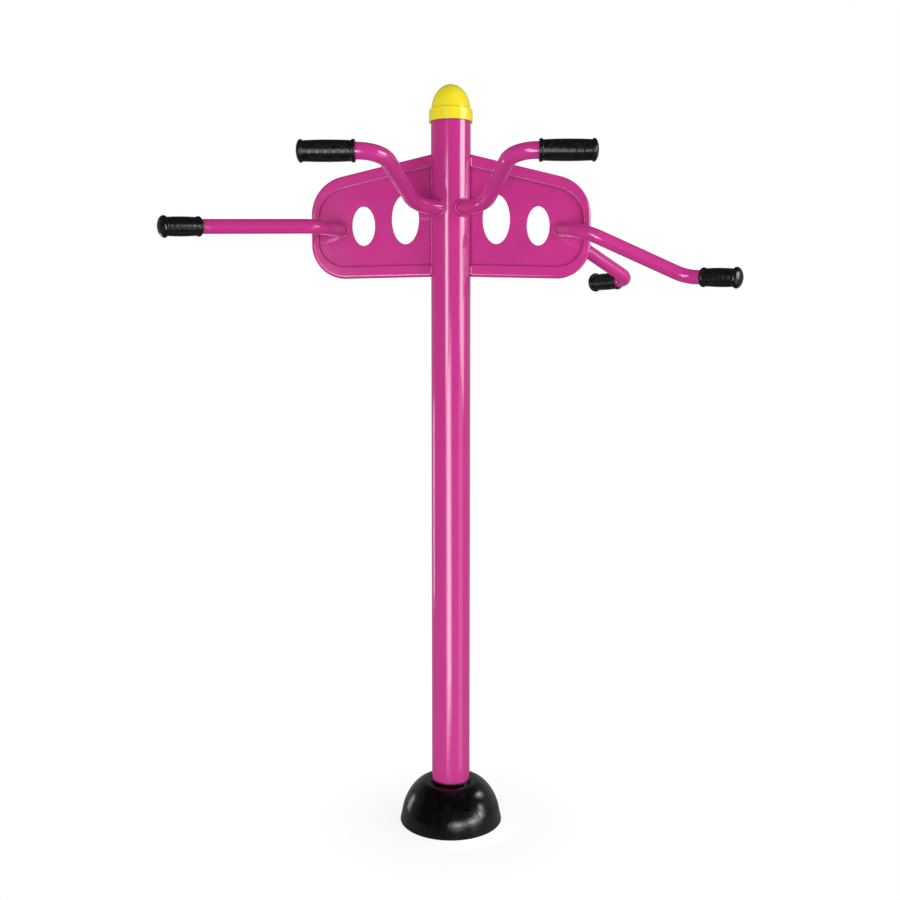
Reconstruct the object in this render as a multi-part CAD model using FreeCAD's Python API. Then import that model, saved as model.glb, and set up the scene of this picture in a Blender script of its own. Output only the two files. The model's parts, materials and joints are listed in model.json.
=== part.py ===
import FreeCAD
import Part
import math
import os

# Outdoor pull-up bar station, in millimetres.
# The origin is on the post's axis at ground level, +Z is up and the user stands on the -Y side.

# Post
post_diameter = 114.3
post_wall = 4.0
post_height = 2108.0

# Base flange, its ribs and the anchor holes
flange_diameter = 260.0
flange_thickness = 12.0
anchor_circle = 205.0
anchor_hole = 18.0
anchor_count = 4
gusset_edge_margin = 15.0
gusset_headroom = 34.0
gusset_thickness = 6.0
gusset_toe = 14.0
gusset_snipe = 9.0
foot_weld_leg = 6.0

# Two-piece dome that hides the flange
cover_flange_margin = 24.4
cover_height = 121.5
cover_wall = 3.5
cover_side_height = 36.0
cover_side_taper = 12.0
cover_shoulder_rise = 39.6
cover_shoulder_reach = 33.0
cover_crown_width = 12.4
cover_lip_height = 6.5
cover_lip_wall = 3.5
cover_post_gap = 1.0
cover_seam = 0.3
cover_rib_thickness = 3.0
cover_rib_height = 30.0
cover_rib_overlap = 8.0
cover_rib_angles = (-60.0, 0.0, 60.0)
cover_seat_clearance = 0.3
latch_below_crown = 45.5
latch_length = 47.0
latch_offset = 46.0
latch_tip_drop = 2.3
latch_bow = 1.2
latch_opening = 4.0
latch_tail_out = 21.0
latch_tail_fall = 32.6
latch_tail_bow = 1.2
latch_tail_opening = 2.4
latch_tail_overlap = 3.0
vent_hole = 9.0
upper_vent_height = 95.7
upper_vent_angle = 14.6
lower_vent_height = 62.0
lower_vent_angle = 19.1

# Cap on top of the post
cap_collar_wall = 5.0
cap_overlap = 31.0
cap_collar_crown = 3.7
cap_edge_radius = 3.0
cap_dome_step = 6.5
cap_dome_height = 71.0
cap_dome_wall = 5.0
cap_clearance = 0.3

# Winged panel, in heights above its lower edge at the post's axis
panel_half_width = 403.0
panel_height = 360.0
panel_top_drop = 107.0
panel_top_slope = 13.5
panel_bottom_slope = 1.25
panel_upper_radius = 113.0
panel_lower_radius = 96.0
rim_thickness = 20.0
rim_edge_radius = 8.0
rim_inner_edge_radius = 2.0
rim_height = 34.0
rim_side_width = 20.0
sheet_thickness = 6.0
sheet_groove = 8.0
hole_pitch = 121.0
inner_hole_rise = 163.0
inner_hole_width = 78.6
inner_hole_length = 141.0
outer_hole_rise = 144.0
outer_hole_width = 66.0
outer_hole_length = 112.0
panel_weld_radius = 5.0

# Pair of S-shaped pull-up handles on the front of the post
s_tube_diameter = 42.4
s_tube_wall = 3.0
s_root_drop = 276.0
s_root_turn = 36.0
s_root_offset = 15.0
s_root_length = 74.0
s_root_bend = 165.0
s_grip_reach = 438.0
s_grip_rise = 90.3
s_shoulder_x = 161.4
s_shoulder_bend = 73.5
s_bare_end = 4.0
s_weld_leg = 5.0

# Three cranked arms on the panel
arm_tube_diameter = 40.0
arm_tube_wall = 3.0
arm_root_inset = 86.0
arm_root_rise = 133.0
arm_root_to_hole = 64.5
arm_weld_leg = 4.0

# Front left arm: each turn is from straight out to the side towards the user
left_elbow_out = 56.0
left_elbow_stand_off = 140.0
left_elbow_drop = 3.5
left_elbow_bend = 70.0
left_run_length = 279.0
left_run_turn = 15.5
left_run_drop = 1.6
left_wrist_bend = 90.0
left_tip_turn = 38.0
left_tip_drop = 3.6
left_bare_end = 17.0

# Front right arm
right_elbow_out = 53.0
right_elbow_stand_off = 140.0
right_elbow_drop = 16.5
right_elbow_bend = 70.0
right_run_length = 320.0
right_run_turn = -7.8
right_run_drop = 23.0
right_wrist_bend = 75.0
right_tip_turn = 38.0
right_tip_drop = 2.8
right_bare_end = 14.5

# Rear right arm: each turn is from straight out to the side towards the back
rear_elbow_out = 55.0
rear_elbow_stand_off = 80.0
rear_elbow_drop = 33.5
rear_elbow_bend = 60.0
rear_run_length = 254.0
rear_run_turn = 40.0
rear_run_drop = 22.5
rear_wrist_bend = 43.0
rear_tip_turn = 128.0
rear_tip_drop = 0.5
rear_bare_end = 6.0

# Steel discs that close the tubes, and the rubber grips over them
end_disc_thickness = 3.0
grip_clearance = 0.2
grip_bead_radius = 5.0
grip_ring_inset = 4.0
s_grip_span = 130.6
s_grip_inner_flange = 57.0
s_grip_outer_flange = 57.0
s_grip_end_diameter = 51.0
s_grip_middle_diameter = 54.0
s_grip_nose = 11.5
arm_grip_span = 96.0
arm_grip_inner_flange = 54.6
arm_grip_outer_flange = 59.2
arm_grip_end_diameter = 49.4
arm_grip_middle_diameter = 52.6
arm_grip_nose = 15.5

# Sizes that follow from the ones above
post_radius = post_diameter / 2
flange_radius = flange_diameter / 2
cover_radius = flange_radius + cover_flange_margin
cover_opening = post_radius + cover_post_gap
cover_lip_radius = cover_opening + cover_lip_wall
panel_top = post_height - panel_top_drop
panel_bottom = panel_top - panel_height
arm_root_x = panel_half_width - arm_root_inset
arm_root_height = panel_bottom + arm_root_rise
outer_hole_x = arm_root_x - arm_root_to_hole
inner_hole_x = outer_hole_x - hole_pitch
s_root_height = post_height - s_root_drop

# Helpers for the geometry
diagonal = math.sqrt(0.5)
touching = 0.001
up = FreeCAD.Vector(0, 0, 1)
origin = FreeCAD.Vector(0, 0, 0)
parts = {}


def vector(x, y, z):
    return FreeCAD.Vector(x, y, z)


def turned(shape, degrees):
    """A copy of a shape turned about the post's axis."""
    copy = shape.copy()
    copy.rotate(origin, up, degrees)
    return copy


def mirrored(shape):
    """A copy of a shape on the other side of the post."""
    return shape.mirror(origin, vector(1, 0, 0))


def revolved(edges):
    """A full solid of revolution about Z from edges in the XZ plane."""
    face = Part.Face(Part.Wire(Part.__sortEdges__(edges)))
    return face.revolve(origin, up, 360)


def line(start, end):
    return Part.LineSegment(start, end).toShape()


def quarter_ellipse(half_width, height, base):
    """The upper right quarter of an ellipse in the XZ plane, centred on the post's axis."""
    centre = vector(0, 0, base)
    side = centre + vector(half_width, 0, 0)
    top = centre + vector(0, 0, height)
    long_end, short_end = (top, side) if height > half_width else (side, top)
    return Part.ArcOfEllipse(Part.Ellipse(long_end, short_end, centre), 0, math.pi / 2).toShape()


def bent_path(corners, bend_radii):
    """A wire of straight runs joined by tangent arcs."""
    edges = []
    start = corners[0]
    for index, radius in enumerate(bend_radii, start=1):
        corner = corners[index]
        back = (corners[index - 1] - corner).normalize()
        ahead = (corners[index + 1] - corner).normalize()
        half_angle = back.getAngle(ahead) / 2
        tangent = radius / math.tan(half_angle)
        inward = (back + ahead).normalize()
        arc_start = corner + back * tangent
        arc_middle = corner + inward * (radius / math.sin(half_angle) - radius)
        arc_end = corner + ahead * tangent
        edges.append(line(start, arc_start))
        edges.append(Part.Arc(arc_start, arc_middle, arc_end).toShape())
        start = arc_end
    edges.append(line(start, corners[-1]))
    return Part.Wire(edges)


def bent_bar(corners, bend_radii, radius):
    """A solid round bar along a bent path."""
    section = Part.Wire(Part.makeCircle(radius, corners[0], corners[1] - corners[0]))
    return bent_path(corners, bend_radii).makePipeShell([section], True, False)


def placed_along(shape, foot, direction):
    """A copy of a shape made along +Z, moved to a foot point and a direction."""
    copy = shape.copy()
    copy.Placement = FreeCAD.Placement(foot, FreeCAD.Rotation(up, direction))
    return copy


# Post and base
def post_solid(radius):
    return Part.makeCylinder(radius, post_height)


def make_post():
    tube = post_solid(post_radius).cut(post_solid(post_radius - post_wall))
    return tube.cut(Part.makeCylinder(flange_radius, flange_thickness))


def make_flange():
    flange = Part.makeCylinder(flange_radius, flange_thickness)
    for index in range(anchor_count):
        hole = Part.makeCylinder(anchor_hole / 2, flange_thickness, vector(anchor_circle / 2, 0, 0))
        flange = flange.cut(turned(hole, 360 * (index + 0.5) / anchor_count))
    return flange


def make_gusset():
    """A triangular rib on the +X side, with its corner cut away over the foot weld."""
    heel = post_radius
    tip = flange_radius - gusset_edge_margin
    foot = flange_thickness
    head = cover_height - cover_wall - gusset_headroom
    corners = [
        vector(heel + gusset_snipe, 0, foot),
        vector(tip, 0, foot),
        vector(tip, 0, foot + gusset_toe),
        vector(heel + gusset_toe, 0, head),
        vector(0, 0, head),
        vector(0, 0, foot + gusset_snipe),
        vector(heel, 0, foot + gusset_snipe),
        vector(heel + gusset_snipe, 0, foot),
    ]
    face = Part.Face(Part.makePolygon(corners))
    face.translate(vector(0, -gusset_thickness / 2, 0))
    return face.extrude(vector(0, gusset_thickness, 0)).cut(post_solid(post_radius))


def make_foot_weld():
    foot = flange_thickness
    corner = vector(post_radius, 0, foot)
    outer = vector(post_radius + foot_weld_leg, 0, foot)
    upper = vector(post_radius, 0, foot + foot_weld_leg)
    return revolved([line(corner, outer), line(outer, upper), line(upper, corner)])


def cover_body(shrink):
    """The dome's full solid, smaller all round by a wall, with its opening for the post."""
    lean = math.radians(cover_side_taper)
    rise = vector(-math.sin(lean), 0, math.cos(lean))
    foot = vector(cover_radius - shrink / math.cos(lean), 0, 0)
    side_top = foot + rise * (cover_side_height / math.cos(lean))
    side_pull = side_top + rise * (cover_shoulder_rise - shrink / 2)
    crown = vector(cover_lip_radius + cover_crown_width, 0, cover_height - shrink)
    crown_pull = crown + vector(cover_shoulder_reach - shrink / 2, 0, 0)
    shoulder = Part.BezierCurve()
    shoulder.setPoles([side_top, side_pull, crown_pull, crown])
    rim = vector(cover_opening, 0, crown.z)
    inner_foot = vector(cover_opening, 0, 0)
    edges = [
        line(foot, side_top),
        shoulder.toShape(),
        line(crown, rim),
        line(rim, inner_foot),
        line(inner_foot, foot),
    ]
    return revolved(edges)


def cover_lip():
    """The upright lip round the dome's opening."""
    foot = vector(0, 0, cover_height - cover_wall)
    height = cover_wall + cover_lip_height
    ring = Part.makeCylinder(cover_lip_radius, height, foot)
    return ring.cut(Part.makeCylinder(cover_opening, height, foot))


def make_cover_half():
    """The right half of the dome: shell, lip, locating ribs, latch slot and two small holes."""
    outside = cover_body(0)
    half = outside.cut(cover_body(cover_wall)).fuse(cover_lip())
    rib_foot = flange_radius - cover_rib_overlap
    rib_base = flange_thickness + cover_seat_clearance
    for angle in cover_rib_angles:
        rib = Part.makeBox(cover_radius - rib_foot, cover_rib_thickness, cover_rib_height)
        rib.translate(vector(rib_foot, -cover_rib_thickness / 2, rib_base))
        half = half.fuse(turned(rib, angle).common(outside))
    side = Part.makeBox(cover_radius, 2 * cover_radius, cover_height + cover_lip_height)
    side.translate(vector(cover_seam / 2, -cover_radius, 0))
    half = half.common(side).cut(latch_slot())
    for height, angle in ((upper_vent_height, upper_vent_angle), (lower_vent_height, lower_vent_angle)):
        drill = Part.makeCylinder(vent_hole / 2, cover_radius, vector(0, 0, height), vector(1, 0, 0))
        half = half.cut(turned(drill, angle))
    return half.removeSplitter()


def sickle(start, end, bow, opening):
    """A sickle-shaped prism through the dome's front wall, between two tips."""
    chord = end - start
    side = vector(-chord.z, 0, chord.x).normalize()
    middle = (start + end) * 0.5
    outer = Part.Arc(start, middle + side * (bow + opening), end).toShape()
    inner = Part.Arc(end, middle + side * bow, start).toShape()
    return Part.Face(Part.Wire([outer, inner])).extrude(vector(0, cover_radius, 0))


def latch_slot():
    """The latch's outline beside the seam: a wide slot and a fine tail that curves down from it."""
    height = cover_height - latch_below_crown
    left = vector(latch_offset - latch_length / 2, -cover_radius, height - latch_tip_drop)
    right = vector(latch_offset + latch_length / 2, -cover_radius, height)
    tail_start = right + vector(-latch_tail_overlap, 0, latch_tail_overlap)
    tail_end = right + vector(latch_tail_out, 0, -latch_tail_fall)
    tail = sickle(tail_start, tail_end, latch_tail_bow, latch_tail_opening)
    return sickle(left, right, latch_bow, latch_opening).fuse(tail)


def make_cap():
    """A hollow cap with a collar over the post's end and a dome above it."""
    collar_inside = post_radius + cap_clearance
    collar = collar_inside + cap_collar_wall
    dome = collar - cap_dome_step
    dome_inside = dome - cap_dome_wall
    collar_foot = post_height - cap_overlap
    shoulder = post_height + cap_collar_crown
    peak = shoulder + cap_dome_height
    bevel_low = vector(collar, 0, shoulder - cap_edge_radius)
    bevel_high = vector(collar - cap_edge_radius, 0, shoulder)
    bevel_centre = vector(collar - cap_edge_radius, 0, shoulder - cap_edge_radius)
    bevel_middle = bevel_centre + vector(diagonal, 0, diagonal) * cap_edge_radius
    edges = [
        line(vector(collar_inside, 0, collar_foot), vector(collar, 0, collar_foot)),
        line(vector(collar, 0, collar_foot), bevel_low),
        Part.Arc(bevel_low, bevel_middle, bevel_high).toShape(),
        line(bevel_high, vector(dome, 0, shoulder)),
        quarter_ellipse(dome, cap_dome_height, shoulder),
        line(vector(0, 0, peak), vector(0, 0, peak - cap_dome_wall)),
        quarter_ellipse(dome_inside, cap_dome_height - cap_dome_wall, shoulder),
        line(vector(dome_inside, 0, shoulder), vector(dome_inside, 0, post_height)),
        line(vector(dome_inside, 0, post_height), vector(collar_inside, 0, post_height)),
        line(vector(collar_inside, 0, post_height), vector(collar_inside, 0, collar_foot)),
    ]
    return revolved(edges)


# Winged panel
def wing_outline(edge_inset, side_inset):
    """The right wing's outline in the XZ plane, from the post's axis out, inset by the widths given."""
    top_fall = math.tan(math.radians(panel_top_slope))
    bottom_fall = math.tan(math.radians(panel_bottom_slope))
    side = panel_half_width - side_inset
    top = panel_top - edge_inset
    bottom = panel_bottom + edge_inset
    corners = [
        vector(0, 0, bottom),
        vector(0, 0, top),
        vector(side, 0, top - side * top_fall),
        vector(side, 0, bottom - side * bottom_fall),
        vector(0, 0, bottom),
    ]
    radii = [panel_upper_radius - side_inset, panel_lower_radius - side_inset]
    open_path = bent_path(corners[1:], radii)
    return Part.Wire(open_path.Edges + [line(corners[0], corners[1])])


def wing_plate(outline, thickness):
    face = Part.Face(outline)
    face.translate(vector(0, -thickness / 2, 0))
    return face.extrude(vector(0, thickness, 0))


def edges_along(plate, outline, thickness):
    """The edges of a plate's two faces that follow an outline, without those on the post's axis."""
    found = []
    for edge in plate.Edges:
        middle = edge.valueAt((edge.FirstParameter + edge.LastParameter) / 2)
        on_face = abs(abs(middle.y) - thickness / 2) < touching
        flat = Part.Vertex(middle.x, 0, middle.z)
        if on_face and middle.x > touching and outline.distToShape(flat)[0] < touching:
            found.append(edge)
    return found


def make_sheet():
    outline = wing_outline(rim_height - sheet_groove, rim_side_width - sheet_groove)
    sheet = wing_plate(outline, sheet_thickness)
    holes = (
        (inner_hole_x, inner_hole_rise, inner_hole_width, inner_hole_length),
        (outer_hole_x, outer_hole_rise, outer_hole_width, outer_hole_length),
    )
    for x, rise, width, length in holes:
        centre = vector(x, -sheet_thickness, panel_bottom + rise)
        oval = Part.Ellipse(centre + up * (length / 2), centre + vector(width / 2, 0, 0), centre)
        hole = Part.Face(Part.Wire(oval.toShape())).extrude(vector(0, 2 * sheet_thickness, 0))
        sheet = sheet.cut(hole)
    return sheet.cut(post_solid(post_radius))


def make_rim(sheet):
    outside = wing_outline(0, 0)
    inside = wing_outline(rim_height, rim_side_width)
    rim = wing_plate(outside, rim_thickness)
    rim = rim.makeFillet(rim_edge_radius, edges_along(rim, outside, rim_thickness))
    rim = rim.cut(wing_plate(inside, rim_thickness)).cut(post_solid(post_radius))
    rim = rim.makeFillet(rim_inner_edge_radius, edges_along(rim, inside, rim_thickness))
    return rim.cut(sheet)


def make_panel_weld(rim, sheet):
    """Short upright beads where the rim's ends meet the post, front and back."""
    beads = []
    half = rim_thickness / 2
    corner_x = math.sqrt(post_radius ** 2 - half ** 2)
    top_fall = corner_x * math.tan(math.radians(panel_top_slope))
    bottom_fall = corner_x * math.tan(math.radians(panel_bottom_slope))
    feet = (
        panel_top - top_fall - rim_height,
        panel_bottom - bottom_fall + panel_weld_radius,
    )
    for y in (-half, half):
        for foot in feet:
            length = rim_height - 2 * panel_weld_radius
            bead = Part.makeCylinder(panel_weld_radius, length, vector(corner_x, y, foot))
            beads.append(bead.cut(post_solid(post_radius)).cut(rim).cut(sheet))
    return Part.makeCompound(beads)


# Tubes, their end discs and their root welds
def heading(side, face, turn, drop):
    """A unit direction, turned from straight out to the side towards a face, and dropped."""
    level = math.cos(math.radians(drop))
    out = side * math.cos(math.radians(turn)) * level
    towards = face * math.sin(math.radians(turn)) * level
    return vector(out, towards, -math.sin(math.radians(drop)))


def tube_end(corner, run, tip, bend, bare_end, covered):
    """Where a tube ends: past its last bend, a bare stretch and the length inside the grip."""
    tangent = bend * math.tan(run.getAngle(tip) / 2)
    return corner + tip * (tangent + bare_end + covered)


def grip_depth(span):
    """The length of tube that a grip covers."""
    return grip_ring_inset + span + grip_bead_radius - end_disc_thickness - grip_clearance


def s_handle_corners():
    root = heading(1, -1, s_root_turn, 0)
    ahead = vector(root.y, -root.x, 0)
    start = ahead * s_root_offset + up * s_root_height
    inside = math.sqrt(post_radius ** 2 - s_root_offset ** 2)
    bend = start + root * (inside + s_root_length)
    shoulder = vector(s_shoulder_x, -s_grip_reach, s_root_height + s_grip_rise)
    run = (shoulder - bend).normalize()
    tip = heading(1, -1, 0, 0)
    end = tube_end(shoulder, run, tip, s_shoulder_bend, s_bare_end, grip_depth(s_grip_span))
    return [start, bend, shoulder, end]


def arm_corners(side, face, elbow_offset, run_length, run_angles, tip_angles, wrist_bend, bare_end):
    """An arm's corners from its root on the panel: elbow, wrist and end."""
    out, stand_off, drop = elbow_offset
    root = vector(side * arm_root_x, 0, arm_root_height)
    elbow = root + vector(side * out, face * stand_off, -drop)
    run = heading(side, face, *run_angles)
    wrist = elbow + run * run_length
    tip = heading(side, face, *tip_angles)
    end = tube_end(wrist, run, tip, wrist_bend, bare_end, grip_depth(arm_grip_span))
    return [root, elbow, wrist, end]


def add_tube(tube_name, label, corners, bends, diameter, wall, seat, collar):
    """One bent tube cut to its seat, with its weld and its end disc."""
    bar = bent_bar(corners, bends, diameter / 2).cut(seat)
    bore = bent_bar(corners, bends, diameter / 2 - wall)
    parts[tube_name] = bar.cut(bore)
    parts[label.format("weld")] = collar.cut(seat).cut(bar)
    along = (corners[-1] - corners[-2]).normalize()
    disc = Part.makeCylinder(diameter / 2, end_disc_thickness)
    parts[label.format("end_disc")] = placed_along(disc, corners[-1], along)
    return corners[-1] + along * (end_disc_thickness + grip_clearance), along


def half_space(root, face):
    """Everything from the panel sheet's far side up to the face that an arm stands on."""
    block = Part.makeBox(2 * panel_half_width, panel_half_width, 2 * panel_height)
    block.translate(vector(root.x - panel_half_width, -sheet_thickness / 2, root.z - panel_height))
    if face > 0:
        block.translate(vector(0, sheet_thickness - panel_half_width, 0))
    return block


def arm_collar(root, direction, face):
    """The weld round an arm's root, before the arm is cut out of it."""
    radius = arm_tube_diameter / 2 + arm_weld_leg
    collar = Part.makeCylinder(radius, 2 * arm_tube_diameter, root, direction)
    layer = half_space(root, face)
    layer.translate(vector(0, face * arm_weld_leg, 0))
    return collar.common(layer)


# Rubber grips
def make_grip(bore_radius, span, inner_flange, outer_flange, end_diameter, middle_diameter, nose):
    """A closed grip along +Z whose inside end wall lies at Z = 0."""
    bead = grip_bead_radius
    outer_z = -grip_ring_inset
    inner_z = outer_z - span
    body_end = end_diameter / 2
    inner_ring = inner_flange / 2
    outer_ring = outer_flange / 2
    mouth = inner_z - bead
    neck_low = inner_z + bead
    neck_high = outer_z - bead
    top = vector(0, 0, outer_z + nose)
    crown = vector(outer_ring * diagonal, 0, outer_z + nose * diagonal)
    shoulder = vector(body_end + (outer_ring - body_end) * diagonal, 0, outer_z - bead * diagonal)
    edges = [
        line(vector(bore_radius, 0, 0), origin),
        line(origin, top),
        Part.Arc(top, crown, vector(outer_ring, 0, outer_z)).toShape(),
        Part.Arc(vector(outer_ring, 0, outer_z), shoulder, vector(body_end, 0, neck_high)).toShape(),
        Part.Arc(
            vector(body_end, 0, neck_high),
            vector(middle_diameter / 2, 0, (neck_low + neck_high) / 2),
            vector(body_end, 0, neck_low),
        ).toShape(),
        Part.Arc(
            vector(body_end, 0, neck_low),
            vector(inner_ring, 0, inner_z),
            vector(body_end, 0, mouth),
        ).toShape(),
        line(vector(body_end, 0, mouth), vector(bore_radius, 0, mouth)),
        line(vector(bore_radius, 0, mouth), vector(bore_radius, 0, 0)),
    ]
    return revolved(edges)


def make_s_grip():
    return make_grip(
        s_tube_diameter / 2 + grip_clearance,
        s_grip_span,
        s_grip_inner_flange,
        s_grip_outer_flange,
        s_grip_end_diameter,
        s_grip_middle_diameter,
        s_grip_nose,
    )


def make_arm_grip():
    return make_grip(
        arm_tube_diameter / 2 + grip_clearance,
        arm_grip_span,
        arm_grip_inner_flange,
        arm_grip_outer_flange,
        arm_grip_end_diameter,
        arm_grip_middle_diameter,
        arm_grip_nose,
    )


# Build the post, the base and the cap
parts["main_post"] = make_post()
parts["base_flange"] = make_flange()
parts["post_foot_weld"] = make_foot_weld()
for number in range(anchor_count):
    parts["base_gusset_" + str(number + 1)] = turned(make_gusset(), 360 * number / anchor_count)
parts["cover_half_right"] = make_cover_half()
parts["cover_half_left"] = turned(parts["cover_half_right"], 180)
parts["post_cap"] = make_cap()

# Build the panel
parts["panel_sheet_right"] = make_sheet()
parts["panel_rim_right"] = make_rim(parts["panel_sheet_right"])
parts["panel_weld_right"] = make_panel_weld(parts["panel_rim_right"], parts["panel_sheet_right"])
for piece in ("panel_sheet", "panel_rim", "panel_weld"):
    parts[piece + "_left"] = mirrored(parts[piece + "_right"])

# Build the S handles with their grips
s_corners = s_handle_corners()
s_direction = (s_corners[1] - s_corners[0]).normalize()
s_collar = Part.makeCylinder(s_tube_diameter / 2 + s_weld_leg, post_diameter, s_corners[0], s_direction)
s_foot, s_along = add_tube(
    "s_handle_right",
    "s_{}_right",
    s_corners,
    [s_root_bend, s_shoulder_bend],
    s_tube_diameter,
    s_tube_wall,
    post_solid(post_radius),
    s_collar.common(post_solid(post_radius + s_weld_leg)),
)
parts["s_grip_right"] = placed_along(make_s_grip(), s_foot, s_along)
for piece in ("s_handle", "s_weld", "s_end_disc", "s_grip"):
    parts[piece + "_left"] = mirrored(parts[piece + "_right"])

# Build the three arms with their grips
left_corners = arm_corners(
    -1,
    -1,
    (left_elbow_out, left_elbow_stand_off, left_elbow_drop),
    left_run_length,
    (left_run_turn, left_run_drop),
    (left_tip_turn, left_tip_drop),
    left_wrist_bend,
    left_bare_end,
)
right_corners = arm_corners(
    1,
    -1,
    (right_elbow_out, right_elbow_stand_off, right_elbow_drop),
    right_run_length,
    (right_run_turn, right_run_drop),
    (right_tip_turn, right_tip_drop),
    right_wrist_bend,
    right_bare_end,
)
rear_corners = arm_corners(
    1,
    1,
    (rear_elbow_out, rear_elbow_stand_off, rear_elbow_drop),
    rear_run_length,
    (rear_run_turn, rear_run_drop),
    (rear_tip_turn, rear_tip_drop),
    rear_wrist_bend,
    rear_bare_end,
)
arms = (
    ("front_left", left_corners, [left_elbow_bend, left_wrist_bend], -1),
    ("front_right", right_corners, [right_elbow_bend, right_wrist_bend], -1),
    ("rear_right", rear_corners, [rear_elbow_bend, rear_wrist_bend], 1),
)
for name, corners, bends, face in arms:
    root = corners[0]
    direction = (corners[1] - root).normalize()
    foot, along = add_tube(
        name + "_arm",
        name + "_{}",
        corners,
        bends,
        arm_tube_diameter,
        arm_tube_wall,
        half_space(root, face),
        arm_collar(root, direction, face),
    )
    parts[name + "_grip"] = placed_along(make_arm_grip(), foot, along)

# Write one file per piece
os.makedirs("parts", exist_ok=True)
for name, shape in parts.items():
    shape.exportStep("parts/" + name + ".step")
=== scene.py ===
import json
import math

import bpy
import numpy as np
from mathutils import Euler, Matrix, Vector


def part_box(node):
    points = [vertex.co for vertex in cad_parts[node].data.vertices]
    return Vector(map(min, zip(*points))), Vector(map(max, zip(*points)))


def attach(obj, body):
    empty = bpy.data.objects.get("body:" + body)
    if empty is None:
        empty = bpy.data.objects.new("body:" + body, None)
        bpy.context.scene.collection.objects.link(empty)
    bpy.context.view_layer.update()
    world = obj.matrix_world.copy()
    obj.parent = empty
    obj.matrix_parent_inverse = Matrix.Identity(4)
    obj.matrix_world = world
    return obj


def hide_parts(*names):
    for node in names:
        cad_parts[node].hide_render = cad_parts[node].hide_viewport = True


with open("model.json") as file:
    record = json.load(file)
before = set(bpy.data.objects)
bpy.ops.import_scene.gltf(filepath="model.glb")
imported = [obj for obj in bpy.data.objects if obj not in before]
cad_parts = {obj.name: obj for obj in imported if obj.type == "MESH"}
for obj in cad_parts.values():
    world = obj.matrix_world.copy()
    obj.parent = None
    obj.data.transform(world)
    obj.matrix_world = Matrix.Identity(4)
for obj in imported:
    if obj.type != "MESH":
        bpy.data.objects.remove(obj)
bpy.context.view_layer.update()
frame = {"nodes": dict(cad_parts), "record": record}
nodes = frame["nodes"]

# Colours, linear
PINK_DEEP = (0.515, 0.032, 0.229, 1.0)
PINK_LIGHT = (0.555, 0.037, 0.248, 1.0)
# Painted shade for the pink paint's corners, mixed in by the ambient-occlusion mask
PINK_PAINTED_SHADE = (0.22, 0.010, 0.095, 1.0)
YELLOW_DEEP = (0.83, 0.67, 0.018, 1.0)
YELLOW_LIGHT = (0.88, 0.74, 0.030, 1.0)
# Painted shade for the yellow cap's corners, mixed in by the ambient-occlusion mask
YELLOW_PAINTED_SHADE = (0.42, 0.31, 0.008, 1.0)
COVER_BLACK = (0.003, 0.003, 0.0033, 1.0)
COVER_DUST = (0.010, 0.010, 0.0105, 1.0)
RUBBER_BLACK = (0.005, 0.005, 0.0055, 1.0)
RUBBER_DUST = (0.014, 0.014, 0.0145, 1.0)
FLOOR_WHITE = (0.86, 0.86, 0.86, 1.0)
WHITE = (1.0, 1.0, 1.0, 1.0)

# How far the painted shade in corners reaches out of a corner, in metres
PAINTED_SHADE_REACH = 0.012

# Floor, in metres: its edge, the part under the dome, and where the shadow fades out
FLOOR_RADIUS = 0.45
DOME_RADIUS = 0.1535
SHADOW_FADE = (0.15, 0.42)

# Light levels, where 1 is white: the near and the far floor as gloss shows them, and the fill light
FLOOR_NEAR = 0.18
FLOOR_MIRRORED = 0.24
FILL_LEFT = 0.58
FILL_RIGHT = 0.31
FILL_BACK = 0.60

# Height of the far floor's direction, on a sphere of radius 1
FLOOR_BAND = -0.34

# Camera: place in metres, angles in degrees, lens and sensor in millimetres
CAMERA_PLACE = (0.067, -3.090, 1.457)
CAMERA_DOWN = 5.98
CAMERA_TURN = 1.242
CAMERA_LENS = 42.0
CAMERA_SENSOR = 36.0
CAMERA_SHIFT = -0.00093

# Grips: the same sizes as the solids that they stand for, in metres
GRIP_CLEARANCE = 0.0002
GRIP_RING_INSET = 0.004
GRIP_BEAD = 0.005
S_GRIP = {
    "bore": 0.0214,
    "span": 0.1306,
    "inner_flange": 0.0285,
    "outer_flange": 0.0285,
    "end": 0.0255,
    "middle": 0.0270,
    "nose": 0.0115,
}
ARM_GRIP = {
    "bore": 0.0202,
    "span": 0.0960,
    "inner_flange": 0.0273,
    "outer_flange": 0.0296,
    "end": 0.0247,
    "middle": 0.0263,
    "nose": 0.0155,
}
RIB_PITCH = 0.0023
RIB_HEIGHT = 0.00022
RIB_BANDS = 6
BAND_GAP = 0.0028

# Welds
RIPPLE_PITCH = 0.0042
RIPPLE_DEPTH = 0.14
S_WELD_LEG = 0.005
ARM_WELD_LEG = 0.004
S_ROOT_TURN = math.radians(36.0)
S_ROOT_OFFSET = 0.015
S_ROOT_HEIGHT = 1.832
S_TUBE_RADIUS = 0.0212
ARM_TUBE_RADIUS = 0.020
ARM_ROOT_X = 0.317
ARM_ROOT_HEIGHT = 1.774
SHEET_HALF = 0.003
ARM_DIRECTIONS = {
    "front_left": (-0.056, -0.140, -0.0035),
    "front_right": (0.053, -0.140, -0.0165),
    "rear_right": (0.055, 0.080, -0.0335),
}


# Shader helpers
def new_material(name):
    material = bpy.data.materials.new(name)
    material.use_nodes = True
    return material, material.node_tree, material.node_tree.nodes["Principled BSDF"]


def noise(tree, size, detail=2.0):
    """Noise in the object's own coordinates, with features of a size in metres."""
    coordinates = tree.nodes.new("ShaderNodeTexCoord")
    texture = tree.nodes.new("ShaderNodeTexNoise")
    texture.inputs["Scale"].default_value = 1.0 / size
    texture.inputs["Detail"].default_value = detail
    tree.links.new(coordinates.outputs["Object"], texture.inputs["Vector"])
    return texture.outputs["Fac"]


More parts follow.
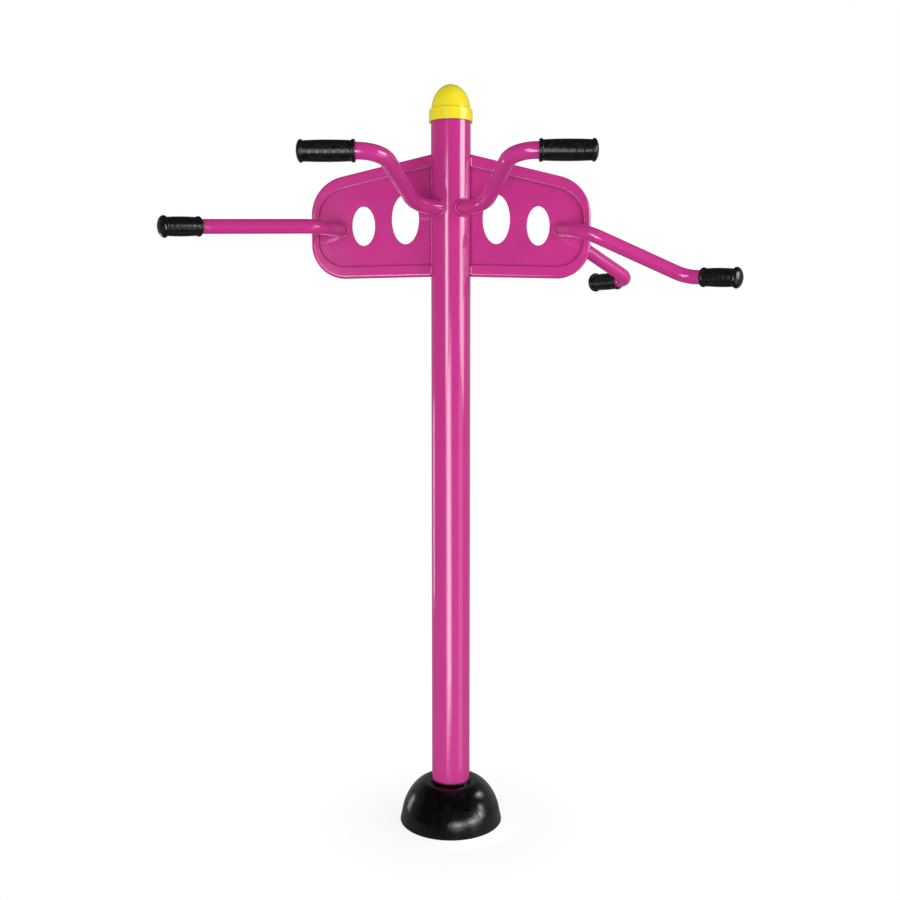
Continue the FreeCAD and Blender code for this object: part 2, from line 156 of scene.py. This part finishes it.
def mapped(tree, value, source, target):
    """A value taken from one range to another, kept inside it."""
    node = tree.nodes.new("ShaderNodeMapRange")
    tree.links.new(value, node.inputs["Value"])
    node.inputs["From Min"].default_value = source[0]
    node.inputs["From Max"].default_value = source[1]
    node.inputs["To Min"].default_value = target[0]
    node.inputs["To Max"].default_value = target[1]
    return node.outputs["Result"]


def combined(tree, operation, *values):
    """The result of a sum on values that are sockets or plain numbers."""
    node = tree.nodes.new("ShaderNodeMath")
    node.operation = operation
    for socket, value in zip(node.inputs, values):
        if isinstance(value, float):
            socket.default_value = value
        else:
            tree.links.new(value, socket)
    return node.outputs["Value"]


def mixed(tree, factor, first, second):
    """A colour between two others."""
    node = tree.nodes.new("ShaderNodeMix")
    node.data_type = "RGBA"
    tree.links.new(factor, node.inputs["Factor"])
    for socket, colour in ((node.inputs["A"], first), (node.inputs["B"], second)):
        if isinstance(colour, tuple):
            socket.default_value = colour
        else:
            tree.links.new(colour, socket)
    return node.outputs["Result"]


def bumped(tree, height, depth, normal=None):
    """A surface normal from a height, as deep as a size in metres."""
    node = tree.nodes.new("ShaderNodeBump")
    node.inputs["Distance"].default_value = depth
    tree.links.new(height, node.inputs["Height"])
    if normal is not None:
        tree.links.new(normal, node.inputs["Normal"])
    return node.outputs["Normal"]


def painted_corner_shade(tree, reach):
    """An ambient-occlusion mask for painted shade: one on open surfaces, falling to zero deep in a corner,
    as far out of it as a size in metres.
    """
    node = tree.nodes.new("ShaderNodeAmbientOcclusion")
    node.inputs["Distance"].default_value = reach
    return mapped(tree, node.outputs["AO"], (0.35, 0.85), (0.0, 1.0))


# Materials
def make_paint():
    """Powder coat: orange peel, a fine grain, a slow change of colour and gloss, and painted shade that
    darkens the corners.
    """
    material, tree, shader = new_material("pink_powder_coat")
    cloud = mapped(tree, noise(tree, 0.30), (0.3, 0.7), (0.0, 1.0))
    colour = mixed(tree, cloud, PINK_DEEP, PINK_LIGHT)
    # Painted shade: the colour darkens towards deep pink in corners and creases
    corner_shaded = mixed(tree, painted_corner_shade(tree, PAINTED_SHADE_REACH), PINK_PAINTED_SHADE, colour)
    tree.links.new(corner_shaded, shader.inputs["Base Color"])
    gloss = mapped(tree, noise(tree, 0.04, 3.0), (0.3, 0.7), (0.10, 0.15))
    tree.links.new(gloss, shader.inputs["Roughness"])
    shader.inputs["IOR"].default_value = 1.65
    peel = bumped(tree, noise(tree, 0.006, 1.0), 0.000025)
    grain = bumped(tree, noise(tree, 0.0011), 0.000003, peel)
    tree.links.new(grain, shader.inputs["Normal"])
    return material


def make_cap_plastic():
    """Moulded plastic with faint flow marks, and painted shade that darkens the corners."""
    material, tree, shader = new_material("yellow_plastic")
    cloud = mapped(tree, noise(tree, 0.06, 3.0), (0.3, 0.7), (0.0, 1.0))
    colour = mixed(tree, cloud, YELLOW_DEEP, YELLOW_LIGHT)
    # Painted shade: the colour darkens towards deep yellow in corners and creases
    corner_shaded = mixed(tree, painted_corner_shade(tree, PAINTED_SHADE_REACH), YELLOW_PAINTED_SHADE, colour)
    tree.links.new(corner_shaded, shader.inputs["Base Color"])
    gloss = mapped(tree, noise(tree, 0.012, 3.0), (0.3, 0.7), (0.14, 0.22))
    tree.links.new(gloss, shader.inputs["Roughness"])
    tree.links.new(bumped(tree, noise(tree, 0.004), 0.00004), shader.inputs["Normal"])
    return material


def make_cover_plastic():
    """Gloss black plastic with light dust and a fine moulded grain."""
    material, tree, shader = new_material("black_plastic")
    dust = mapped(tree, noise(tree, 0.02, 6.0), (0.45, 0.75), (0.0, 1.0))
    tree.links.new(mixed(tree, dust, COVER_BLACK, COVER_DUST), shader.inputs["Base Color"])
    gloss = mapped(tree, noise(tree, 0.03, 4.0), (0.3, 0.7), (0.15, 0.24))
    tree.links.new(gloss, shader.inputs["Roughness"])
    wave = bumped(tree, noise(tree, 0.02), 0.00025)
    grain = bumped(tree, noise(tree, 0.0012), 0.00001, wave)
    tree.links.new(grain, shader.inputs["Normal"])
    return material


def make_rubber():
    """Moulded rubber, a little dusty and grainy."""
    material, tree, shader = new_material("black_rubber")
    dust = mapped(tree, noise(tree, 0.009, 5.0), (0.4, 0.75), (0.0, 1.0))
    tree.links.new(mixed(tree, dust, RUBBER_BLACK, RUBBER_DUST), shader.inputs["Base Color"])
    gloss = mapped(tree, noise(tree, 0.006, 3.0), (0.3, 0.7), (0.14, 0.22))
    tree.links.new(gloss, shader.inputs["Roughness"])
    tree.links.new(bumped(tree, noise(tree, 0.0009), 0.00001), shader.inputs["Normal"])
    return material


materials = {
    "pink_paint": make_paint(),
    "yellow_cap": make_cap_plastic(),
    "black_cover": make_cover_plastic(),
    "black_rubber": make_rubber(),
}


# Mesh helpers
def add_piece(name, vertices, faces, slot, *stands_for):
    """A new piece of the object that stands for one or more nodes of the frame."""
    mesh = bpy.data.meshes.new(name)
    mesh.from_pydata([tuple(vertex) for vertex in vertices], [], faces)
    mesh.validate()
    mesh.shade_smooth()
    mesh.materials.append(materials[slot])
    piece = bpy.data.objects.new(name, mesh)
    bpy.context.scene.collection.objects.link(piece)
    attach(piece, "root")
    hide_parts(*stands_for)
    return piece


def lathe(profile, place, steps=96):
    """A closed solid turned about Z, from (radius, height) pairs that start and end on the axis."""
    vertices = []
    faces = []
    rings = []
    for radius, height in profile:
        if radius == 0:
            rings.append([len(vertices)] * steps)
            vertices.append(place @ Vector((0, 0, height)))
            continue
        rings.append(range(len(vertices), len(vertices) + steps))
        for step in range(steps):
            angle = 2 * math.pi * step / steps
            vertices.append(place @ Vector((radius * math.cos(angle), radius * math.sin(angle), height)))
    for lower, upper in zip(rings, rings[1:]):
        for step in range(steps):
            after = (step + 1) % steps
            quad = [lower[step], lower[after], upper[after], upper[step]]
            faces.append(list(dict.fromkeys(quad)))
    return vertices, faces


# Grips
def tube_end(disc, grip):
    """A placement at the middle of an end disc's outer face, with Z along the way that it faces."""
    low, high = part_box(disc)
    middle = (low + high) / 2
    points = np.array([vertex.co for vertex in nodes[disc].data.vertices]) - np.array(middle)
    axis = Vector(np.linalg.svd(points, full_matrices=False)[2][2])
    grip_low, grip_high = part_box(grip)
    if axis.dot(middle - (grip_low + grip_high) / 2) < 0:
        axis.negate()
    half_thickness = float(np.abs(points @ np.array(axis)).max())
    turn = Vector((0, 0, 1)).rotation_difference(axis).to_matrix().to_4x4()
    return Matrix.Translation(middle + axis * (half_thickness + GRIP_CLEARANCE)) @ turn


def rib(height, low, high):
    """How far the ribs stand out at a height: fine ribs in bands, with a plain land between two bands."""
    band = (high - low) / RIB_BANDS
    into_band = (height - low) % band
    from_edge = min(into_band, band - into_band)
    fade = min(1.0, max(0.0, (from_edge - BAND_GAP / 2) / (RIB_PITCH / 2)))
    return fade * RIB_HEIGHT * (0.5 - math.cos(2 * math.pi * into_band / RIB_PITCH) / 2)


def grip_profile(size):
    """A closed grip's outline from its end wall along the bore, then over the ribs to the nose."""
    outer = -GRIP_RING_INSET
    inner = outer - size["span"]
    low = inner + GRIP_BEAD
    high = outer - GRIP_BEAD
    half = (high - low) / 2
    profile = [(0, 0), (size["bore"], 0), (size["bore"], inner - GRIP_BEAD)]
    arc_steps = 12
    for step in range(arc_steps + 1):
        angle = math.pi * step / arc_steps
        swell = (size["inner_flange"] - size["end"]) * math.sin(angle)
        profile.append((size["end"] + swell, inner - GRIP_BEAD * math.cos(angle)))
    body_steps = round((high - low) / RIB_PITCH * 6)
    for step in range(1, body_steps):
        height = low + (high - low) * step / body_steps
        barrel = size["middle"] - (size["middle"] - size["end"]) * ((height - low) / half - 1) ** 2
        profile.append((barrel + rib(height, low, high) - RIB_HEIGHT / 2, height))
    for step in range(arc_steps + 1):
        angle = math.pi / 2 * step / arc_steps
        swell = (size["outer_flange"] - size["end"]) * math.sin(angle)
        profile.append((size["end"] + swell, outer - GRIP_BEAD * math.cos(angle)))
    for step in range(1, arc_steps):
        angle = math.pi / 2 * step / arc_steps
        profile.append((size["outer_flange"] * math.cos(angle), outer + size["nose"] * math.sin(angle)))
    profile.append((0, outer + size["nose"]))
    return profile


def add_grip(grip, disc, size):
    place = tube_end(disc, grip)
    vertices, faces = lathe(grip_profile(size), place)
    add_piece("ribbed_" + grip, vertices, faces, "black_rubber", grip)


for hand in ("left", "right"):
    add_grip("s_grip_" + hand, "s_end_disc_" + hand, S_GRIP)
for arm in ARM_DIRECTIONS:
    add_grip(arm + "_grip", arm + "_end_disc", ARM_GRIP)


# Welds
def ripple(along):
    """A weld bead's swell at a length along it: a row of overlapping drops."""
    return 1 - RIPPLE_DEPTH + RIPPLE_DEPTH * math.sqrt(abs(math.sin(math.pi * along / RIPPLE_PITCH)))


def swept_ring(centres, outs, radius):
    """A closed bead round a ring of centres, each with a direction out of the corner that it fills."""
    count = len(centres)
    sides = 14
    vertices = []
    faces = []
    along = 0.0
    for index in range(count):
        ahead = (centres[(index + 1) % count] - centres[index - 1]).normalized()
        out = outs[index]
        across = ahead.cross(out).normalized()
        for side in range(sides):
            angle = 2 * math.pi * side / sides
            offset = out * math.cos(angle) + across * math.sin(angle)
            vertices.append(centres[index] + offset * radius * ripple(along))
        along += (centres[(index + 1) % count] - centres[index]).length
    for index in range(count):
        base = index * sides
        after = (index + 1) % count * sides
        for side in range(sides):
            turn = (side + 1) % sides
            faces.append([base + side, base + turn, after + turn, after + side])
    return vertices, faces


def add_root_weld(node, root, direction, tube_radius, leg, meet, seat_normal):
    """A rippled bead where a tube meets its seat."""
    axis = direction.normalized()
    first = axis.cross(Vector((0, 0, 1))).normalized()
    second = axis.cross(first)
    pitches = round(2 * math.pi * tube_radius / RIPPLE_PITCH)
    count = pitches * 8
    centres = []
    outs = []
    for step in range(count):
        angle = 2 * math.pi * step / count
        normal = first * math.cos(angle) + second * math.sin(angle)
        start = root + normal * tube_radius
        point = start + axis * meet(start, axis)
        out = (normal + seat_normal(point)).normalized()
        centres.append(point + out * leg * 0.25)
        outs.append(out)
    vertices, faces = swept_ring(centres, outs, leg * 0.85)
    add_piece("rippled_" + node, vertices, faces, "pink_paint", node)


def meet_post(start, axis):
    """How far along an axis a point reaches the post's outer face."""
    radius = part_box("main_post")[1].x
    flat_axis = Vector((axis.x, axis.y))
    flat_start = Vector((start.x, start.y))
    square = flat_axis.dot(flat_axis)
    middle = flat_axis.dot(flat_start) / square
    rest = (flat_start.dot(flat_start) - radius ** 2) / square
    return -middle + math.sqrt(middle ** 2 - rest)


def post_normal(point):
    return Vector((point.x, point.y, 0)).normalized()


for side in (-1, 1):
    direction = Vector((side * math.cos(S_ROOT_TURN), -math.sin(S_ROOT_TURN), 0))
    ahead = Vector((-side * math.sin(S_ROOT_TURN), -math.cos(S_ROOT_TURN), 0))
    root = ahead * S_ROOT_OFFSET + Vector((0, 0, S_ROOT_HEIGHT))
    weld = "s_weld_right" if side > 0 else "s_weld_left"
    add_root_weld(weld, root, direction, S_TUBE_RADIUS, S_WELD_LEG, meet_post, post_normal)

for arm, offset in ARM_DIRECTIONS.items():
    direction = Vector(offset)
    side = math.copysign(1, direction.x)
    face = math.copysign(1, direction.y)
    root = Vector((side * ARM_ROOT_X, 0, ARM_ROOT_HEIGHT))
    add_root_weld(
        arm + "_weld",
        root,
        direction,
        ARM_TUBE_RADIUS,
        ARM_WELD_LEG,
        lambda start, axis, face=face: (face * SHEET_HALF - start.y) / axis.y,
        lambda point, face=face: Vector((0, face, 0)),
    )

# Finish of the nodes that stay
for entry in frame["record"]["subparts"]:
    mesh = nodes[entry["node"]].data
    mesh.materials.clear()
    mesh.materials.append(materials[entry["material_slot"]])


# Studio
def seen_rays(tree):
    """One for rays from the camera, and for those that a mirror or glass passes on."""
    path = tree.nodes.new("ShaderNodeLightPath")
    direct = combined(tree, "MAXIMUM", path.outputs["Is Camera Ray"], path.outputs["Is Glossy Ray"])
    return combined(tree, "MAXIMUM", direct, path.outputs["Is Transmission Ray"])


def add_floor():
    """A pale floor that keeps the shadow near the foot and runs out to plain white."""
    sides = 96
    edge = []
    for side in range(sides):
        angle = 2 * math.pi * side / sides
        edge.append((FLOOR_RADIUS * math.cos(angle), FLOOR_RADIUS * math.sin(angle), 0))
    mesh = bpy.data.meshes.new("floor")
    mesh.from_pydata(edge, [], [list(range(sides))])
    floor = bpy.data.objects.new("floor", mesh)
    bpy.context.scene.collection.objects.link(floor)
    material, tree, shader = new_material("floor_white")
    shader.inputs["Base Color"].default_value = FLOOR_WHITE
    shader.inputs["Roughness"].default_value = 0.7
    white = tree.nodes.new("ShaderNodeEmission")
    white.inputs["Color"].default_value = WHITE
    path = tree.nodes.new("ShaderNodeLightPath")
    level = mapped(tree, path.outputs["Is Camera Ray"], (0.0, 1.0), (FLOOR_NEAR, 1.0))
    tree.links.new(level, white.inputs["Strength"])
    coordinates = tree.nodes.new("ShaderNodeTexCoord")
    distance = tree.nodes.new("ShaderNodeVectorMath")
    distance.operation = "LENGTH"
    tree.links.new(coordinates.outputs["Object"], distance.inputs[0])
    away = mapped(tree, distance.outputs["Value"], SHADOW_FADE, (0.85, 1.0))
    open_floor = combined(tree, "GREATER_THAN", distance.outputs["Value"], DOME_RADIUS)
    lit_floor = combined(tree, "MULTIPLY", away, open_floor)
    share = combined(tree, "MULTIPLY", seen_rays(tree), lit_floor)
    blend = tree.nodes.new("ShaderNodeMixShader")
    tree.links.new(share, blend.inputs["Fac"])
    tree.links.new(shader.outputs["BSDF"], blend.inputs[1])
    tree.links.new(white.outputs["Emission"], blend.inputs[2])
    tree.links.new(blend.outputs["Shader"], tree.nodes["Material Output"].inputs["Surface"])
    mesh.materials.append(material)


def add_world():
    """White to the camera, dim in reflections, and a fill light that is stronger on the left and behind."""
    world = bpy.data.worlds.new("studio")
    world.use_nodes = True
    tree = world.node_tree
    background = tree.nodes["Background"]
    background.inputs["Color"].default_value = WHITE
    coordinates = tree.nodes.new("ShaderNodeTexCoord")
    split = tree.nodes.new("ShaderNodeSeparateXYZ")
    tree.links.new(coordinates.outputs["Generated"], split.inputs["Vector"])
    across = mapped(tree, split.outputs["X"], (-1.0, 1.0), (FILL_LEFT, FILL_RIGHT))
    from_behind = mapped(tree, split.outputs["Y"], (0.0, 1.0), (0.0, FILL_BACK))
    fill = combined(tree, "ADD", across, from_behind)
    behind = mapped(tree, split.outputs["Y"], (-0.2, 0.8), (0.02, 0.32))
    steepness = combined(tree, "ABSOLUTE", split.outputs["Z"])
    near_level = mapped(tree, steepness, (0.3, 0.7), (1.0, 0.1))
    wall = combined(tree, "MULTIPLY", behind, near_level)
    off_band = combined(tree, "ABSOLUTE", combined(tree, "SUBTRACT", split.outputs["Z"], FLOOR_BAND))
    band = mapped(tree, off_band, (0.0, 0.3), (FLOOR_MIRRORED, 0.0))
    mirrored = combined(tree, "MAXIMUM", wall, band)
    path = tree.nodes.new("ShaderNodeLightPath")
    glossy = tree.nodes.new("ShaderNodeMix")
    tree.links.new(fill, glossy.inputs["A"])
    tree.links.new(path.outputs["Is Glossy Ray"], glossy.inputs["Factor"])
    tree.links.new(mirrored, glossy.inputs["B"])
    seen = combined(tree, "MAXIMUM", path.outputs["Is Camera Ray"], path.outputs["Is Transmission Ray"])
    strength = tree.nodes.new("ShaderNodeMix")
    strength.inputs["B"].default_value = 1.0
    tree.links.new(seen, strength.inputs["Factor"])
    tree.links.new(glossy.outputs["Result"], strength.inputs["A"])
    tree.links.new(strength.outputs["Result"], background.inputs["Strength"])
    bpy.context.scene.world = world


def add_softbox(name, azimuth, distance, width, low, high, lean, brightness):
    """A softbox that faces the post, at an azimuth to the right of the front and leaning to the left."""
    light = bpy.data.lights.new(name, "AREA")
    light.shape = "RECTANGLE"
    light.size = width
    light.size_y = high - low
    light.energy = brightness * math.pi * width * (high - low)
    lamp = bpy.data.objects.new(name, light)
    turn = math.radians(azimuth)
    lamp.location = (distance * math.sin(turn), -distance * math.cos(turn), (low + high) / 2)
    upright = Euler((math.radians(90), 0, turn)).to_matrix()
    lamp.rotation_euler = (upright @ Matrix.Rotation(math.radians(lean), 3, "Z")).to_euler()
    lamp.visible_camera = False
    bpy.context.scene.collection.objects.link(lamp)
    return lamp


def keep_off(lamp, *names):
    """Leaves some nodes out of a lamp's light."""
    kept = bpy.data.collections.new(lamp.name + "_kept_off")
    for name in names:
        kept.objects.link(nodes[name])
    for link in kept.collection_objects:
        link.light_linking.link_state = "EXCLUDE"
    lamp.light_linking.receiver_collection = kept


def add_camera():
    camera = bpy.data.cameras.new("camera")
    camera.sensor_width = CAMERA_SENSOR
    camera.lens = CAMERA_LENS
    camera.shift_x = CAMERA_SHIFT
    holder = bpy.data.objects.new("camera", camera)
    holder.location = CAMERA_PLACE
    holder.rotation_euler = Euler((math.radians(90 - CAMERA_DOWN), 0, math.radians(CAMERA_TURN)))
    bpy.context.scene.collection.objects.link(holder)
    bpy.context.scene.camera = holder


add_floor()
add_world()

# Lamps: azimuth in degrees, distance, width, low and high edge in metres, lean in degrees, brightness
post_lamps = [
    add_softbox("softbox_left", -10.0, 8.0, 4.6, -2.9, 1.3, 9, 3.1),
    add_softbox("softbox_left_core", -10.0, 7.8, 2.4, -2.4, 1.2, 9, 3.9),
    add_softbox("softbox_upper_left", -22.5, 8.1, 2.9, 1.1, 3.2, 14, 3.0),
    add_softbox("softbox_upper_left_core", -22.5, 7.9, 1.6, 1.1, 3.2, 14, 4.6),
    add_softbox("softbox_right", 71, 4.0, 2.4, 1.2, 3.3, -12, 3.4),
    add_softbox("softbox_right_core", 70, 3.9, 1.3, 1.2, 3.3, -12, 2.2),
    add_softbox("softbox_right_top", 73, 3.8, 2.2, 2.2, 3.3, -12, 2.4),
]
for lamp in post_lamps:
    keep_off(lamp, "cover_half_right", "cover_half_left")
add_softbox("softbox_right_low", 62, 4.1, 2.0, -1.9, 1.2, 0, 0.9)
add_softbox("softbox_rear", -119, 4.0, 0.9, -0.3, 1.05, 0, 3.0)

# Spots that light the dome: azimuth, distance, width, low and high edge, each with a core and a halo
foot_spots = {
    "front": (12, 0.22, 0.085, 0.030, 0.064),
    "middle": (36, 0.22, 0.085, 0.036, 0.070),
    "right": (54, 0.23, 0.070, 0.053, 0.103),
    "side": (66, 0.26, 0.045, 0.100, 0.155),
    "top": (83, 0.196, 0.065, 0.158, 0.222),
}
for spot, (azimuth, distance, width, low, high) in foot_spots.items():
    for layer, scale, brightness in (("core", 0.7, 5.5), ("halo", 1.45, 1.5)):
        grow = (scale - 1) * (high - low) / 2
        name = "softbox_foot_%s_%s" % (spot, layer)
        lamp = add_softbox(name, azimuth, distance, width * scale, low - grow, high + grow, 0, brightness)
        lamp.data.shape = "ELLIPSE"
        keep_off(lamp, "main_post")

add_camera()
bpy.context.scene.view_settings.view_transform = "Standard"
